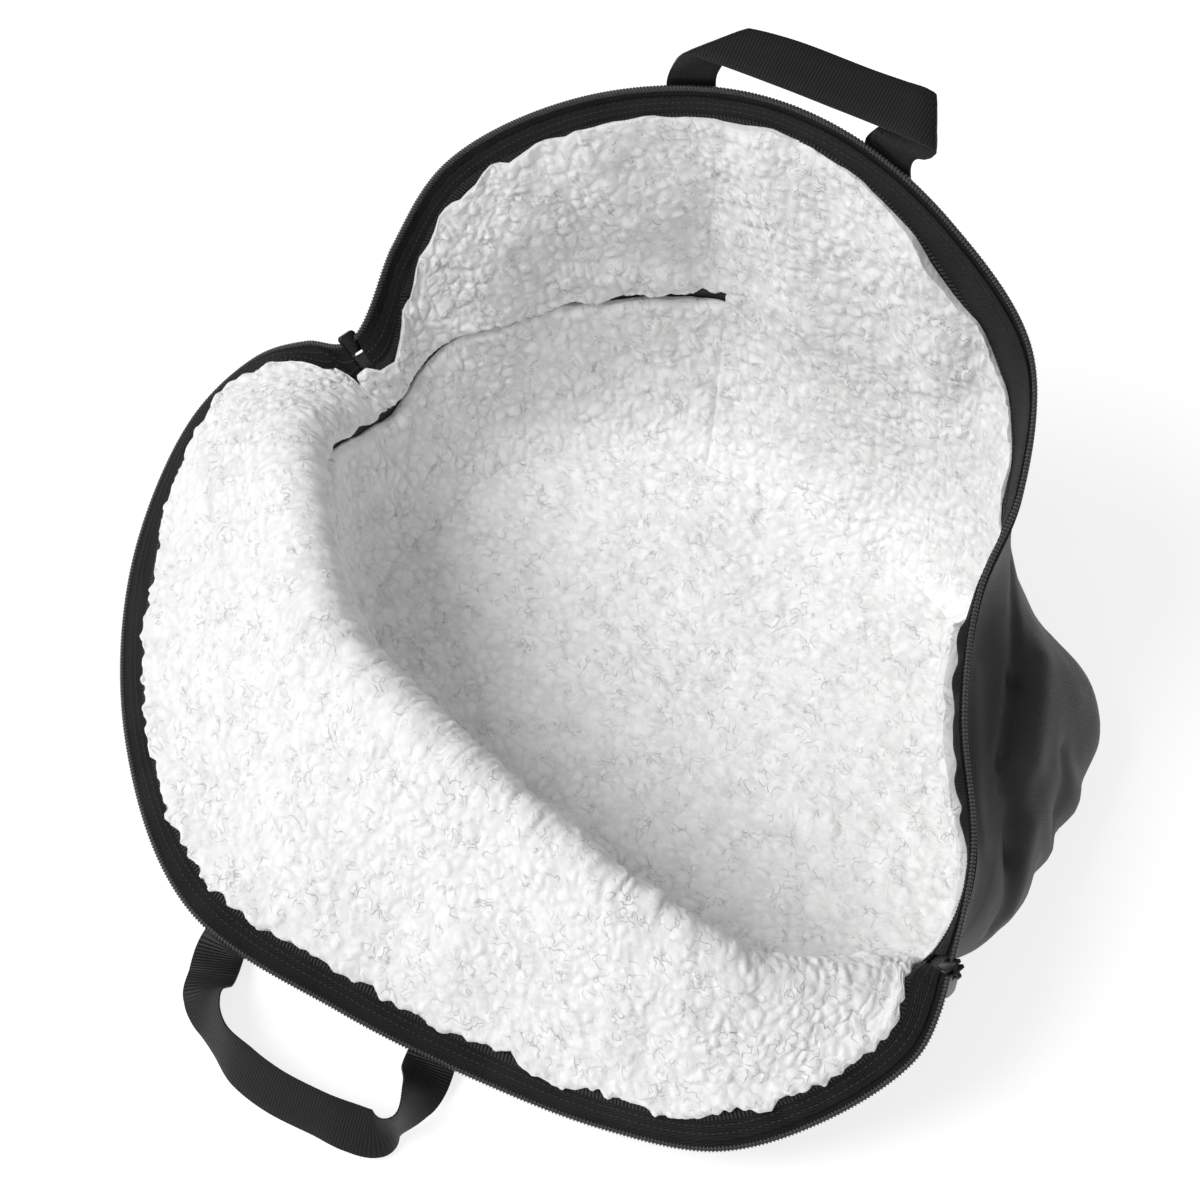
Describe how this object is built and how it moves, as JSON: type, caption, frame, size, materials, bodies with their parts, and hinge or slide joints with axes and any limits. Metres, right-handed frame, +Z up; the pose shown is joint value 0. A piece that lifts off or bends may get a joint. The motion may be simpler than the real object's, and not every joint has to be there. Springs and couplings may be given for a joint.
{
  "type": "helmet bag",
  "caption": "Soft fleece-lined carry bag with a wrap-round zip and webbing handles, standing open on its flat base with the front half folded down to the floor.",
  "frame": {"origin": "middle of the flat base, on its underside, where the bag rests on the floor", "axes": "+X along the bag towards the right-hand end of its zip, +Y towards the standing back half, +Z up"},
  "size_m": [0.5155, 0.4728, 0.3111],
  "materials": {
    "shell_cloth": "black woven polyester, fine plain weave, slight sheen",
    "fleece": "off-white curly pile fleece, matte",
    "zip_tape": "black twill tape, matte",
    "zip_coil": "black nylon coil, satin",
    "webbing": "black ribbed webbing, slight sheen",
    "slider_metal": "black painted metal, worn at the edges"
  },
  "bodies": {
    "bag": {"shell_base": "shell_cloth", "shell_front": "shell_cloth", "shell_back": "shell_cloth", "shell_end_left": "shell_cloth", "shell_end_right": "shell_cloth", "lining_base": "fleece", "lining_front": "fleece", "lining_back": "fleece", "lining_end_left": "fleece", "lining_end_right": "fleece", "facing_front": "zip_tape", "facing_back": "zip_tape", "zip_tape_front": "zip_tape", "zip_tape_back": "zip_tape", "zip_coil_front": "zip_coil", "zip_coil_back": "zip_coil", "handle_front": "webbing", "handle_back": "webbing", "slider_left": "slider_metal", "slider_right": "slider_metal"},
    "pull_left": {"pull_left": "slider_metal"},
    "pull_right": {"pull_right": "slider_metal"}
  },
  "joints": [
    {"name": "pull_left_swing", "type": "hinge", "parent": "bag", "child": "pull_left", "pos_m": [-0.23633, -0.00171, 0.08932], "axis": [0, 1, 0], "range_deg": [-12, 125]},
    {"name": "pull_right_swing", "type": "hinge", "parent": "bag", "child": "pull_right", "pos_m": [0.21647, -0.00142, 0.0849], "axis": [0, -1, 0], "range_deg": [-22, 125]}
  ]
}
